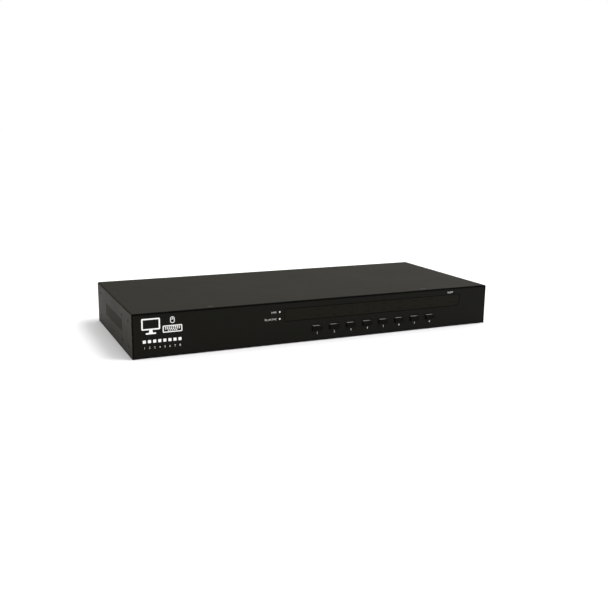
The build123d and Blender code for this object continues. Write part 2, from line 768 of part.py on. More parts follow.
with BuildPart() as ribbon_sockets:
    with BuildSketch(rear_plane(FRONT_HEADER_BACK - SOCKET_DEPTH)):
        with Locations((-RIBBON_X, RIBBON_Z)):
            Rectangle(SOCKET_W, SOCKET_T)
    extrude(amount=SOCKET_DEPTH + SOCKET_PROUD)
    with BuildSketch(Plane.XY.offset(BOARD_HEADER_TOP - SOCKET_DEPTH)):
        with Locations((RIBBON_X, RIBBON_BOARD_Y)):
            Rectangle(SOCKET_W, SOCKET_T)
    extrude(amount=SOCKET_DEPTH + SOCKET_PROUD)
save(ribbon_sockets, "ribbon_sockets")

# Ribbon cable, rising from the front board and folding down to the main board
with BuildPart() as ribbon_cable:
    with BuildLine(Plane.YZ.offset(RIBBON_X)) as path:
        FilletPolyline(
            (FRONT_HEADER_BACK + SOCKET_PROUD, RIBBON_Z),
            (RIBBON_RISE_Y, RIBBON_Z),
            (RIBBON_ARCH_Y, RIBBON_ARCH_Z),
            (RIBBON_BOARD_Y, RIBBON_ARCH_Z),
            (RIBBON_BOARD_Y, BOARD_HEADER_TOP + SOCKET_PROUD),
            radius=RIBBON_R,
        )
    with BuildSketch(rear_plane(FRONT_HEADER_BACK + SOCKET_PROUD)):
        with Locations((-RIBBON_X, RIBBON_Z)):
            Rectangle(RIBBON_W, RIBBON_T)
    sweep(path=path.line)
save(ribbon_cable, "ribbon_cable")
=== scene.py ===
import json
import math

import bpy
from mathutils import Matrix, Vector


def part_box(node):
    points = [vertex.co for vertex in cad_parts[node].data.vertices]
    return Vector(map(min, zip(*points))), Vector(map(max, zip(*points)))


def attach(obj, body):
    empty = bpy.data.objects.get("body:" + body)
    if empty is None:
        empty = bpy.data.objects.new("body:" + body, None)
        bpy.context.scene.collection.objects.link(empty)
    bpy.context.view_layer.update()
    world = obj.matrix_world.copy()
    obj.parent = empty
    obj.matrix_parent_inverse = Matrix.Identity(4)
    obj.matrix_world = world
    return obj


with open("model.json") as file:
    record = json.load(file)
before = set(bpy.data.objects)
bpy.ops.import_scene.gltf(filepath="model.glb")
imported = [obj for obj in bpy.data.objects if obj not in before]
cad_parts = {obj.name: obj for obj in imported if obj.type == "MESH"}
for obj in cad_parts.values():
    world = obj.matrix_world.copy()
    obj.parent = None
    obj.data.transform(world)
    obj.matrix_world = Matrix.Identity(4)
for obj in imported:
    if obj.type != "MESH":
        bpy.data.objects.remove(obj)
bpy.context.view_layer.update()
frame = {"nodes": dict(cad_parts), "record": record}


# ---------------------------------------------------------------------------
# Bottom tray and rear panel: folded from one millimetre steel sheet, punched,
# and sprayed with black powder, which cures to an orange-peel grain. A pattern
# of clinched heads, as the board posts have, runs over the tray's underside.
# ---------------------------------------------------------------------------
class Wire:
    """One socket of a shader, so that a sum or product in Python makes its Math node."""

    def __init__(self, tree, socket):
        self.tree = tree
        self.socket = socket

    def math(self, operation, *others):
        """A Math node on this wire and the others, which are wires or plain numbers."""
        node = self.tree.nodes.new("ShaderNodeMath")
        node.operation = operation
        for shaded_slot, value in zip(node.inputs, (self, *others)):
            plug(self.tree, shaded_slot, value)
        return Wire(self.tree, node.outputs[0])

    def __add__(self, other):
        return self.math("ADD", other)

    def __sub__(self, other):
        return self.math("SUBTRACT", other)

    def __mul__(self, other):
        return self.math("MULTIPLY", other)

    def __rsub__(self, other):
        return self * -1 + other

    __radd__ = __add__
    __rmul__ = __mul__

    def __abs__(self):
        return self.math("ABSOLUTE")

    def above(self, edge, width):
        """Rises from 0 to 1 as the wire passes edge, over the given width."""
        return ((self - edge) * (1 / width) + 0.5).math("MAXIMUM", 0).math("MINIMUM", 1)

    def below(self, edge, width):
        """Falls from 1 to 0 as the wire passes edge, over the given width."""
        return 1 - self.above(edge, width)

    def apart(self, pitch):
        """Distance from the nearest multiple of the pitch."""
        return abs((self * (1 / pitch) + 0.5).math("FRACT") - 0.5) * pitch


def plug(tree, socket, value):
    """Link a wire to a socket, or set the socket to a plain value."""
    if isinstance(value, Wire):
        tree.links.new(value.socket, socket)
    else:
        socket.default_value = value


class Graph:
    """A tree of shader nodes, and the one of them that its finished wires go to."""

    def __init__(self, tree, goal):
        self.tree = tree
        self.shader = tree.nodes[goal]

    def set(self, **sockets):
        """Set or link the shader's sockets, given by name with _ for a space."""
        for name, value in sockets.items():
            plug(self.tree, self.shader.inputs[name.replace("_", " ")], value)

    def node(self, kind, out=0, settings=None, numbered=None, **sockets):
        """Add a node: its type, its settings, and its sockets by number or by name."""
        node = self.tree.nodes.new("ShaderNode" + kind)
        for name, value in (settings or {}).items():
            setattr(node, name, value)
        for number, value in (numbered or {}).items():
            plug(self.tree, node.inputs[number], value)
        for name, value in sockets.items():
            plug(self.tree, node.inputs[name.replace("_", " ")], value)
        return Wire(self.tree, node.outputs[out])


class Finish(Graph):
    """A material with one Principled shader, whose nodes are added by name."""

    def __init__(self, name, **shader):
        self.material = bpy.data.materials.new(name)
        self.material.use_nodes = True
        super().__init__(self.material.node_tree, "Principled BSDF")
        self.set(**shader)

    def colour(self):
        """The wire that feeds the base colour so far."""
        return Wire(self.tree, self.shader.inputs["Base Color"].links[0].from_socket)

    def place(self):
        """Where a point is on the object, in metres."""
        return self.node("TexCoord", out="Object")

    def along(self, axis):
        """One coordinate of the point, for axis X, Y or Z."""
        return self.node("SeparateXYZ", out=axis, Vector=self.place())

    def noise(self, per_metre, detail=3.0, rough=0.5):
        """A soft noise from 0 to 1 with so many lumps in a metre."""
        return self.node(
            "TexNoise", Vector=self.place(), Scale=per_metre, Detail=detail, Roughness=rough
        )

    def streaks(self, per_metre):
        """Noise drawn out into streaks, its lumps in a metre given along X, Y and Z."""
        stretched = self.node("Mapping", Vector=self.place(), Scale=per_metre)
        return self.node("TexNoise", Vector=stretched, Scale=1.0, Detail=2.0)

    def blend(self, amount, first, second):
        """A colour between two colours, each a tuple of three or a wire."""
        ends = [end if isinstance(end, Wire) else (*end, 1.0) for end in (first, second)]
        numbered = {0: amount, 6: ends[0], 7: ends[1]}
        return self.node("Mix", out=2, settings={"data_type": "RGBA"}, numbered=numbered)

    def bump(self, height, strength, distance):
        """A surface normal from a height wire."""
        return self.node("Bump", Height=height, Strength=strength, Distance=distance)


def dress(finish, *nodes):
    """Give CAD pieces their finish."""
    for node in nodes:
        mesh = frame["nodes"][node].data
        mesh.materials.clear()
        mesh.materials.append(finish.material)


def powder_coat(name, colour, dusty, lumps, shine):
    """Powder coat: orange-peel grain, cloudy gloss and small specks of dust."""
    coat = Finish(name, Specular_IOR_Level=shine)
    cloud = coat.noise(14, 4, 0.6)
    speckle = coat.noise(2600, 2, 0.6)
    specks = speckle.above(0.66, 0.06)
    coat.set(
        Base_Color=coat.blend(specks * 0.35 + cloud * 0.25, colour, dusty),
        Roughness=cloud * 0.16 + speckle * 0.1 + 0.42,
        Normal=coat.bump(coat.noise(lumps, 3, 0.55), 0.35, 0.0002),
    )
    return coat


CASE_BLACK = (0.0204, 0.0191, 0.0146)
CASE_DUSTY = (0.0352, 0.0337, 0.0284)
CASE_LUMPS = 1500
CASE_SHINE = 0.045
case_coat = powder_coat("black_powder_coat", CASE_BLACK, CASE_DUSTY, CASE_LUMPS, CASE_SHINE)
dress(case_coat, "rear_panel")

X, Y, Z = range(3)
POST_FLATS = 0.005
POST_CORNERS = 0.00577
POST_COLUMNS = 4
CLINCH_R = 0.0031
CLINCH_GROOVE = 0.00015
CLINCH_STEEL = (0.16, 0.155, 0.14)
post_low, post_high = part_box("board_posts")
column_pitch = (post_high[X] - post_low[X] - POST_FLATS) / (POST_COLUMNS - 1)
row_pitch = post_high[Y] - post_low[Y] - POST_CORNERS
tray_coat = powder_coat("tray_powder_coat", CASE_BLACK, CASE_DUSTY, CASE_LUMPS, CASE_SHINE)
aside = (tray_coat.along("X") - (post_low[X] + POST_FLATS / 2)).apart(column_pitch)
beyond = (tray_coat.along("Y") - (post_low[Y] + POST_CORNERS / 2)).apart(row_pitch)
from_post = (aside * aside + beyond * beyond).math("SQRT")
beneath = tray_coat.along("Z").below(0.0005, 0.0002)
clinched = from_post.below(CLINCH_R, 0.0001) * beneath
ring = abs(from_post - CLINCH_R).below(CLINCH_GROOVE, 0.0001) * beneath
thin_powder = clinched * tray_coat.noise(800).above(0.5, 0.3) * 0.3
tray_coat.set(
    Base_Color=tray_coat.blend(thin_powder, tray_coat.colour(), CLINCH_STEEL),
    Normal=tray_coat.bump(tray_coat.noise(CASE_LUMPS, 3, 0.55) * 0.35 - ring * 2, 1.0, 0.0002),
)
dress(tray_coat, "bottom_tray")

# ---------------------------------------------------------------------------
# Main board on its posts: solder-masked glass fibre, held by hexagon-headed
# zinc-plated screws on steel posts pressed into the tray. Copper tracks show
# paler through the mask, and pads are tinned. The front board is plainer.
# ---------------------------------------------------------------------------
GLASS_PITCH = 0.0008


def circuit_board(name, tracking, tinning):
    """Green solder mask over copper tracks, tinned pads and the weave of the glass."""
    board = Finish(name, Specular_IOR_Level=0.5)
    tracks = tracking * board.node(
        "TexBrick",
        out="Fac",
        settings={"offset": 0.37, "squash": 0.6, "squash_frequency": 3},
        Vector=board.place(),
        Scale=120.0,
        Mortar_Size=0.045,
        Brick_Width=1.7,
        Row_Height=0.32,
    )
    pads = tinning * board.node("TexVoronoi", Vector=board.place(), Scale=210.0).below(0.16, 0.03)
    weave = board.along("X").apart(GLASS_PITCH) + board.along("Z").apart(GLASS_PITCH)
    masked = board.blend(tracks, (0.010, 0.075, 0.030), (0.022, 0.150, 0.058))
    board.set(
        Base_Color=board.blend(pads, masked, (0.62, 0.60, 0.55)),
        Metallic=pads * 0.9,
        Roughness=board.noise(60) * 0.15 + 0.26,
        Normal=board.bump(tracks * 0.75 + pads + weave * 150, 0.25, 0.00006),
    )
    return board


dress(circuit_board("main_board_mask", 0.8, 1.0), "main_board")
dress(circuit_board("front_board_mask", 0.3, 0.0), "front_board")

zinc = Finish("zinc_plate", Metallic=1.0)
zinc.set(
    Base_Color=zinc.blend(zinc.noise(240, 3), (0.58, 0.58, 0.57), (0.66, 0.63, 0.54)),
    Roughness=zinc.noise(900, 3) * 0.22 + 0.24,
    Normal=zinc.bump(zinc.noise(3200, 2), 0.15, 0.00005),
)
dress(zinc, "board_posts", "board_screws", "front_spacers", "front_board_screws")

# ---------------------------------------------------------------------------
# Chips: moulded black epoxy, matt from the mould, with tinned gull-wing leads
# soldered to the board. One large controller, and one video chip for each
# fifteen-contact port.
# ---------------------------------------------------------------------------
epoxy = Finish("moulded_epoxy", Specular_IOR_Level=0.4)
epoxy.set(
    Base_Color=epoxy.blend(
        epoxy.noise(700, 3).above(0.55, 0.3), (0.012, 0.012, 0.013), (0.022, 0.022, 0.023)
    ),
    Roughness=epoxy.noise(1800) * 0.2 + 0.45,
    Normal=epoxy.bump(epoxy.noise(5200, 2), 0.3, 0.00004),
)
dress(epoxy, "controller_chip", "video_chips", "regulator")

tinned = Finish("tinned_lead", Metallic=1.0)
tinned.set(
    Base_Color=tinned.blend(tinned.noise(1500), (0.60, 0.60, 0.58), (0.74, 0.73, 0.70)),
    Roughness=tinned.noise(2500) * 0.25 + 0.2,
)


def fasten(name, mesh):
    """A new piece with this mesh, riding on the case."""
    piece = bpy.data.objects.new(name, mesh)
    bpy.context.collection.objects.link(piece)
    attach(piece, "case")
    return piece


def new_piece(name, finish, points, faces):
    """A new flat-faced piece in its finish, riding on the case."""
    mesh = bpy.data.meshes.new(name)
    mesh.from_pydata(points, [], faces)
    mesh.materials.append(finish.material)
    return fasten(name, mesh)


def middle(node, axis):
    """Middle of a node's box along X, Y or Z."""
    low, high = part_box(node)
    return (low[axis] + high[axis]) / 2


LEAD_OUT = 0.0005
LEAD_BEND = 1.6 * LEAD_OUT
LEAD_FOOT = 0.0007
LEAD_T = 0.00008
LEAD_SHARE = 0.4


def gull_wings(name, chips, pitch, both_ways):
    """Rows of bent leads beside chips, each given as its low and high corner."""
    points, faces = [], []
    for low, high in chips:
        centre = (Vector(low) + Vector(high)) / 2
        half = (Vector(high) - Vector(low)) / 2
        for turn in range(4 if both_ways else 2):
            angle = turn * (math.pi / 2 if both_ways else math.pi) + math.pi / 2
            out = Vector((math.cos(angle), math.sin(angle), 0))
            side = Vector((-out.y, out.x, 0))
            reach = abs(half.x * out.x) + abs(half.y * out.y)
            spread = abs(half.x * side.x) + abs(half.y * side.y) - pitch / 2
            count = int(2 * spread / pitch) + 1
            for index in range(count):
                root = centre + side * (index - (count - 1) / 2) * pitch
                wing = [
                    (reach, centre.z),
                    (reach + LEAD_OUT, centre.z),
                    (reach + LEAD_BEND, low[Z] + LEAD_T),
                    (reach + LEAD_BEND + LEAD_FOOT, low[Z] + LEAD_T),
                ]
                start = len(points)
                for away, height in wing:
                    for edge in (-LEAD_SHARE / 2, LEAD_SHARE / 2):
                        point = root + out * away + side * edge * pitch
                        points.append((point.x, point.y, height))
                for step in range(3):
                    corner = start + 2 * step
                    faces.append((corner, corner + 1, corner + 3, corner + 2))
    return new_piece(name, tinned, points, faces)


CONTROLLER_PITCH = 0.0008
VIDEO_CHIP_PITCH = 0.00127
CHANNELS = range(1, 9)
ports = [f"computer_port_{channel}" for channel in CHANNELS] + ["monitor_port"]
port_x = {port: middle(port, X) for port in ports}
chips_low, chips_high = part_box("video_chips")
chip_half = chips_high[X] - max(port_x.values())
chips = [((x - chip_half, *chips_low[1:]), (x + chip_half, *chips_high[1:])) for x in port_x.values()]
gull_wings("controller_leads", [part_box("controller_chip")], CONTROLLER_PITCH, True)
gull_wings("video_chip_leads", chips, VIDEO_CHIP_PITCH, False)

# ---------------------------------------------------------------------------
# Crystal, capacitors and heat sink: a drawn steel can, aluminium cans in dark
# shrunk sleeves with a pale stripe on the negative side, and an extruded,
# black-anodised sink screwed to the regulator.
# ---------------------------------------------------------------------------
can = Finish("drawn_can", Metallic=1.0)
can.set(
    Base_Color=can.blend(can.noise(400), (0.62, 0.62, 0.62), (0.72, 0.72, 0.71)),
    Roughness=can.streaks((3000, 150, 3000)) * 0.2 + 0.2,
)
dress(can, "crystal")

CAN_RIM = 0.0004
STRIPE_FROM = 0.85
sleeve_low, sleeve_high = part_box("capacitors")
sleeve_r = (sleeve_high[Y] - sleeve_low[Y]) / 2
sleeve_y = middle("capacitors", Y)
sleeve = Finish("shrunk_sleeve")
bare_top = sleeve.along("Z").above(sleeve_high[Z] - CAN_RIM, CAN_RIM / 4)
stripe = sleeve.along("Y").below(sleeve_y - STRIPE_FROM * sleeve_r, sleeve_r / 40)
dark_sleeve = sleeve.blend(stripe, (0.012, 0.013, 0.030), (0.42, 0.44, 0.50))
sleeve.set(
    Base_Color=sleeve.blend(bare_top, dark_sleeve, (0.70, 0.70, 0.70)),
    Metallic=bare_top,
    Roughness=sleeve.noise(500) * 0.15 + 0.22,
    Normal=sleeve.bump(sleeve.noise(900, 2), 0.15, 0.00008),
)
dress(sleeve, "capacitors")

anodised = Finish("black_anodised", Metallic=0.7)
anodised.set(
    Base_Color=anodised.blend(anodised.noise(150), (0.020, 0.020, 0.022), (0.034, 0.033, 0.035)),
    Roughness=anodised.streaks((4000, 4000, 120)) * 0.25 + 0.35,
    Normal=anodised.bump(anodised.streaks((5000, 5000, 90)), 0.2, 0.00004),
)
dress(anodised, "heat_sink")

# ---------------------------------------------------------------------------
# Fifteen-contact ports: drawn steel shells in bright nickel, moulded cores
# with gold-plated contacts set a little way down their holes, and hexagonal
# jack nuts threaded inside for the plug's screws.
# ---------------------------------------------------------------------------
nickel = Finish("bright_nickel", Metallic=1.0)
nickel.set(
    Base_Color=nickel.blend(nickel.noise(180, 4), (0.60, 0.59, 0.56), (0.72, 0.71, 0.69)),
    Roughness=nickel.streaks((2500, 500, 2500)) * 0.16 + nickel.noise(70) * 0.1 + 0.12,
    Normal=nickel.bump(nickel.noise(1400, 3), 0.12, 0.00005),
)
dress(nickel, *ports, "jack_nuts", "ground_screw", "inlet_pin")


def moulding(name, colour, scuffed):
    """Moulded plastic: the fine spark-eroded grain of the tool, and a little scuffing."""
    plastic = Finish(name, Specular_IOR_Level=0.45)
    cloud = plastic.noise(90, 3)
    scuffs = plastic.noise(420, 4).above(0.6, 0.3)
    plastic.set(
        Base_Color=plastic.blend(scuffs * 0.6 + cloud * 0.2, colour, scuffed),
        Roughness=cloud * 0.14 + plastic.noise(1600, 2) * 0.14 + 0.36,
        Normal=plastic.bump(plastic.noise(3600, 2), 0.3, 0.00005),
    )
    return plastic


dress(
    moulding("black_insulator", (0.012, 0.012, 0.012), (0.024, 0.024, 0.024)),
    "computer_port_cores",
    "power_inlet",
    "front_header",
    "board_header",
    "ribbon_sockets",
)
dress(moulding("blue_insulator", (0.016, 0.060, 0.300), (0.030, 0.085, 0.340)), "monitor_port_core")

gold = Finish("gold_plate", Metallic=1.0)
gold.set(
    Base_Color=gold.blend(gold.noise(900), (0.92, 0.62, 0.24), (0.80, 0.50, 0.19)),
    Roughness=gold.noise(1700) * 0.2 + 0.16,
)

CONTACT_PITCH = 0.00229
CONTACT_ROW = 0.00198
CONTACT_SUNK = 0.00035
CONTACT_LENGTH = 0.0020
CONTACT_OUTER = 0.00047
CONTACT_INNER = 0.00026
contact_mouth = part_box("monitor_port_core")[1][Y] - CONTACT_SUNK
port_z = middle("monitor_port", Z)


def square_sleeves(name, finish, spots, mouth, length, outer, inner):
    """Square sleeves along Y, open to the rear, at spots given as (x, z)."""
    points, faces = [], []
    for x, z in spots:
        start = len(points)
        for half, y in ((outer, mouth), (inner, mouth), (inner, mouth - length)):
            for sx, sz in ((-1, -1), (1, -1), (1, 1), (-1, 1)):
                points.append((x + sx * half, y, z + sz * half))
        for loop in (0, 4):
            for corner in range(4):
                near = start + loop + corner
                far = start + loop + (corner + 1) % 4
                faces.append((near, near + 4, far + 4, far))
        faces.append(tuple(start + 8 + corner for corner in range(4)))
    return new_piece(name, finish, points, faces)


contact_spots = []
for x in port_x.values():
    for column in range(-2, 3):
        contact_spots.append((x + column * CONTACT_PITCH, port_z + CONTACT_ROW))
        contact_spots.append((x + column * CONTACT_PITCH, port_z - CONTACT_ROW))
        contact_spots.append((x + (column - 0.5) * CONTACT_PITCH, port_z))
square_sleeves(
    "port_contacts", gold, contact_spots, contact_mouth, CONTACT_LENGTH, CONTACT_OUTER, CONTACT_INNER
)

THREAD_SIDES = 24


def thread(name, finish, mouths, inward, radius, depth, pitch, turns):
    """Threads inside round holes: ridges that go in from each mouth, along one direction."""
    inward = Vector(inward)
    side = Vector((0, 0, 1))
    other = inward.cross(side)
    points, faces = [], []
    for mouth in mouths:
        start = len(points)
        for ring in range(2 * turns + 1):
            r = radius - (depth if ring % 2 else 0)
            centre = Vector(mouth) + inward * (pitch * (ring / 2))
            for step in range(THREAD_SIDES):
                angle = 2 * math.pi * step / THREAD_SIDES
                spoke = math.cos(angle) * side + math.sin(angle) * other
                points.append(centre + r * spoke)
        for ring in range(2 * turns):
            for step in range(THREAD_SIDES):
                near = start + ring * THREAD_SIDES + step
                far = start + ring * THREAD_SIDES + (step + 1) % THREAD_SIDES
                faces.append((near, far, far + THREAD_SIDES, near + THREAD_SIDES))
    return new_piece(name, finish, points, faces)


JACK_APART = 0.025
JACK_SUNK = 0.0002
JACK_THREAD_R = 0.00119
JACK_RIDGE = 0.00016
JACK_PITCH = 0.0006
JACK_TURNS = 6
jack_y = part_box("jack_nuts")[1][Y] - JACK_SUNK
jacks = [(x + side * JACK_APART / 2, jack_y, port_z) for x in port_x.values() for side in (-1, 1)]
thread("jack_threads", nickel, jacks, (0, -1, 0), JACK_THREAD_R, JACK_RIDGE, JACK_PITCH, JACK_TURNS)

# ---------------------------------------------------------------------------
# Keyboard and mouse ports and the low-voltage inlet: moulded blocks coloured
# violet, green and black, with gold-plated contacts in the round ports. A
# split ring of nickel-plated spring lines the inlet.
# ---------------------------------------------------------------------------
dress(moulding("violet_port", (0.130, 0.055, 0.260), (0.170, 0.085, 0.300)), "keyboard_port")
dress(moulding("green_port", (0.035, 0.250, 0.130), (0.060, 0.300, 0.170)), "mouse_port")

PINS = 6
PIN_CIRCLE = 0.00245
PIN_TURN = 30
PIN_SUNK = 0.0005
PIN_LENGTH = 0.0035
PIN_OUTER = 0.00030
PIN_INNER = 0.00018
pin_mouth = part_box("keyboard_port")[1][Y] - PIN_SUNK
pin_spots = []
for port in ("keyboard_port", "mouse_port"):
    for pin in range(PINS):
        angle = math.radians(PIN_TURN + 360 * pin / PINS)
        x = middle(port, X) + PIN_CIRCLE * math.cos(angle)
        pin_spots.append((x, port_z + PIN_CIRCLE * math.sin(angle)))
square_sleeves("round_port_contacts", gold, pin_spots, pin_mouth, PIN_LENGTH, PIN_OUTER, PIN_INNER)

SPRING_OUTER = 0.0030
SPRING_INNER = 0.00284
SPRING_SUNK = 0.0004
SPRING_LENGTH = 0.0065
SPRING_FROM = 120
SPRING_ROUND = 300
SPRING_STEPS = 20
spring_x = middle("inlet_pin", X)
spring_z = middle("inlet_pin", Z)
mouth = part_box("power_inlet")[1][Y] - SPRING_SUNK
deep = mouth - SPRING_LENGTH
section = ((SPRING_OUTER, deep), (SPRING_OUTER, mouth), (SPRING_INNER, mouth), (SPRING_INNER, deep))
spring_points = []
for step in range(SPRING_STEPS + 1):
    angle = math.radians(SPRING_FROM + SPRING_ROUND * step / SPRING_STEPS)
    for r, y in section:
        spring_points.append((spring_x + r * math.cos(angle), y, spring_z + r * math.sin(angle)))
spring_faces = [(3, 2, 1, 0), tuple(4 * SPRING_STEPS + corner for corner in range(4))]
for step in range(SPRING_STEPS):
    for corner in range(4):
        near = 4 * step + corner
        after = 4 * step + (corner + 1) % 4
        spring_faces.append((near, after, after + 4, near + 4))
new_piece("inlet_spring", nickel, spring_points, spring_faces)

# ---------------------------------------------------------------------------
# Printing on the rear: the numbers of the computer ports over them, plain
# pictures of the screen, keyboard and mouse over theirs, and the three bars
# of an earth beside its screw, all in white screen-printed ink.
# ---------------------------------------------------------------------------
INK_T = 0.00004
LETTER_THINNER = 0.022
CAPITAL = 0.69
CORNER_STEPS = 4
ink = Finish("white_ink", Roughness=0.55)
thin_ink = ink.noise(900, 2).above(0.62, 0.3)
ink.set(Base_Color=ink.blend(thin_ink, (0.80, 0.80, 0.78), (0.62, 0.62, 0.60)))


def rounded(x0, z0, x1, z1, r=0.0):
    """Outline of a rectangle with rounded corners, as a list of (x, z)."""
    outline = []
    centres = ((x1 - r, z1 - r), (x0 + r, z1 - r), (x0 + r, z0 + r), (x1 - r, z0 + r))
    for quarter, (cx, cz) in enumerate(centres):
        for step in range(CORNER_STEPS + 1):
            angle = math.radians(90 * (quarter + step / CORNER_STEPS))
            outline.append((cx + r * math.cos(angle), cz + r * math.sin(angle)))
    return outline


def band(x0, z0, x1, z1, r, line):
    """A rounded frame with lines of the given width, as the outlines of its strips."""
    outer = rounded(x0, z0, x1, z1, r)
    inner = rounded(x0 + line, z0 + line, x1 - line, z1 - line, max(r - line, 0))
    count = len(outer)
    return [[outer[i], outer[(i + 1) % count], inner[(i + 1) % count], inner[i]] for i in range(count)]


def screen_picture(x, z, w):
    """A screen on its foot, w wide, the middle of its base at z."""
    shapes = band(x - w / 2, z + 0.19 * w, x + w / 2, z + 0.82 * w, 0.06 * w, 0.075 * w)
    foot, neck = z + 0.04 * w, z + 0.19 * w
    shapes.append([(x - 0.11 * w, foot), (x + 0.11 * w, foot), (x + 0.08 * w, neck), (x - 0.08 * w, neck)])
    shapes.append(rounded(x - 0.28 * w, z - 0.04 * w, x + 0.28 * w, foot, 0.04 * w))
    return shapes


def keyboard_picture(x, z, w):
    """A keyboard, w wide, its lower edge at z."""
    shapes = band(x - w / 2, z, x + w / 2, z + 0.36 * w, 0.05 * w, 0.05 * w)
    key = 0.062 * w
    for row, count in enumerate((5, 8, 8)):
        height = z + (0.082 + 0.077 * row) * w
        for place in range(count):
            left = x + (place - (count - 1) / 2) * 0.1 * w - key / 2
            shapes.append(rounded(left, height, left + key, height + 0.05 * w))
    return shapes


def mouse_picture(x, z, w):
    """A mouse seen from above, w wide, its lower edge at z."""
    shapes = band(x - w / 2, z, x + w / 2, z + 1.5 * w, 0.48 * w, 0.13 * w)
    shapes.append(rounded(x - 0.37 * w, z + 0.85 * w, x + 0.37 * w, z + 0.96 * w))
    shapes.append(rounded(x - 0.05 * w, z + 0.96 * w, x + 0.05 * w, z + 1.37 * w))
    return shapes


def printed(name, face_y, facing, shapes):
    """Flat ink shapes on a wall at face_y that faces -Y (facing -1) or +Y (facing 1)."""
    points, faces = [], []
    for shape in shapes:
        corners = range(len(points), len(points) + len(shape))
        points += [(x, face_y + facing * INK_T, z) for x, z in shape]
        faces.append(tuple(corners) if facing < 0 else tuple(reversed(corners)))
    return new_piece(name, ink, points, faces)


def words(name, text, x, z, height, face_y, facing, align="CENTER"):
    """Printed words in the plain built-in letters, capitals of the given height."""
    letters = bpy.data.curves.new(name, "FONT")
    letters.body = text
    letters.size = height / CAPITAL
    letters.offset = -LETTER_THINNER * height
    letters.align_x = align
    letters.extrude = INK_T / 2
    letters.materials.append(ink.material)
    drawn = bpy.data.objects.new(name, letters)
    bpy.context.collection.objects.link(drawn)
    stand = Matrix.Rotation(math.pi / 2, 4, "X")
    if facing > 0:
        stand = Matrix.Rotation(math.pi, 4, "Z") @ stand
    drawn.matrix_world = Matrix.Translation((x, face_y + facing * INK_T / 2, z - height / 2)) @ stand
    bpy.context.view_layer.update()
    evaluated = drawn.evaluated_get(bpy.context.evaluated_depsgraph_get())
    mesh = bpy.data.meshes.new_from_object(evaluated)
    mesh.transform(drawn.matrix_world)
    bpy.data.objects.remove(drawn)
    return fasten(name, mesh)


REAR_NUMBER_Z = 0.0275
REAR_NUMBER_H = 0.0030
REAR_PICTURE_Z = 0.0255
REAR_KEYBOARD_Z = 0.0263
REAR_SCREEN_W = 0.0060
REAR_KEYBOARD_W = 0.0085
REAR_MOUSE_W = 0.0032
rear_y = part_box("rear_panel")[1][Y]
for channel in CHANNELS:
    x = port_x[f"computer_port_{channel}"]
    words(f"rear_number_{channel}", str(channel), x, REAR_NUMBER_Z, REAR_NUMBER_H, rear_y, 1)
screen = screen_picture(port_x["monitor_port"], REAR_PICTURE_Z, REAR_SCREEN_W)
keyboard = keyboard_picture(middle("keyboard_port", X), REAR_KEYBOARD_Z, REAR_KEYBOARD_W)
mouse = mouse_picture(middle("mouse_port", X), REAR_PICTURE_Z, REAR_MOUSE_W)
printed("rear_screen", rear_y, 1, screen)
printed("rear_keyboard", rear_y, 1, keyboard)
printed("rear_mouse", rear_y, 1, mouse)

EARTH_BESIDE = 0.0078
EARTH_LINE = 0.0004
EARTH_RISE = 0.0022
EARTH_BAR_PITCH = 0.0009
EARTH_HALVES = (0.0020, 0.0013, 0.0006)
earth_x = middle("ground_screw", X) - EARTH_BESIDE
earth_z = middle("ground_screw", Z)
stem_half = EARTH_LINE / 2
earth = [rounded(earth_x - stem_half, earth_z, earth_x + stem_half, earth_z + EARTH_RISE)]
for bar, half in enumerate(EARTH_HALVES):
    low = earth_z - EARTH_BAR_PITCH * bar
    earth.append(rounded(earth_x - half, low - EARTH_LINE, earth_x + half, low))
printed("rear_earth", rear_y, 1, earth)

# ---------------------------------------------------------------------------
# Front board parts: moulded tactile switches, tinted rectangular lights that
# are off, and the grey ribbon cable with its ridged wires and red edge wire.
# ---------------------------------------------------------------------------
switch_plastic = moulding("switch_housing", (0.014, 0.014, 0.014), (0.030, 0.030, 0.030))
dress(switch_plastic, "channel_switches", "reset_switch")


def lens(name, colour, core):
    """Tinted epoxy of a light that is off, cloudy in the middle."""
    tint = Finish(name, Specular_IOR_Level=0.5)
    tint.set(
        Base_Color=tint.blend(tint.noise(700, 2), colour, core),
        Roughness=tint.noise(1200) * 0.12 + 0.16,
        Normal=tint.bump(tint.noise(2600, 2), 0.1, 0.00004),
    )
    return tint


dress(lens("green_lens", (0.020, 0.070, 0.022), (0.050, 0.130, 0.050)), "link_lights")
dress(lens("amber_lens", (0.110, 0.045, 0.010), (0.190, 0.085, 0.022)), "active_lights")

WIRE_PITCH = 0.00127
ribbon_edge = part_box("ribbon_cable")[1][X]
ribbon = Finish("grey_ribbon", Specular_IOR_Level=0.4)
groove = ribbon.along("X").apart(WIRE_PITCH)
red_wire = ribbon.along("X").above(ribbon_edge - WIRE_PITCH, 0.0002)
# The grooves between the wires are painted darker grey, as the shade in them.
grey_wires_groove_shade = ribbon.blend(groove * (2 / WIRE_PITCH), (0.33, 0.33, 0.34), (0.44, 0.44, 0.45))
ribbon.set(
    Base_Color=ribbon.blend(red_wire, grey_wires_groove_shade, (0.45, 0.030, 0.025)),
    Roughness=ribbon.noise(300) * 0.2 + 0.38,
    Normal=ribbon.bump(groove * (2 / WIRE_PITCH), 0.8, 0.0003),
)
dress(ribbon, "ribbon_cable")

# ---------------------------------------------------------------------------
# Front panel: a flat steel plate folded back along its top, in a powder of
# finer grain than the cover's, and a deeper black that is partly its own and
# partly painted shade on a face turned from the light.
# ---------------------------------------------------------------------------
# Much darker than the case's black: partly the powder's own colour, partly painted shade.
FRONT_BLACK_AND_SHADE = (0.0035, 0.0033, 0.0019)
FRONT_DUSTY_AND_SHADE = (0.0070, 0.0066, 0.0050)
dress(powder_coat("front_matt_black", FRONT_BLACK_AND_SHADE, FRONT_DUSTY_AND_SHADE, 1900, 0.09), "front_panel")
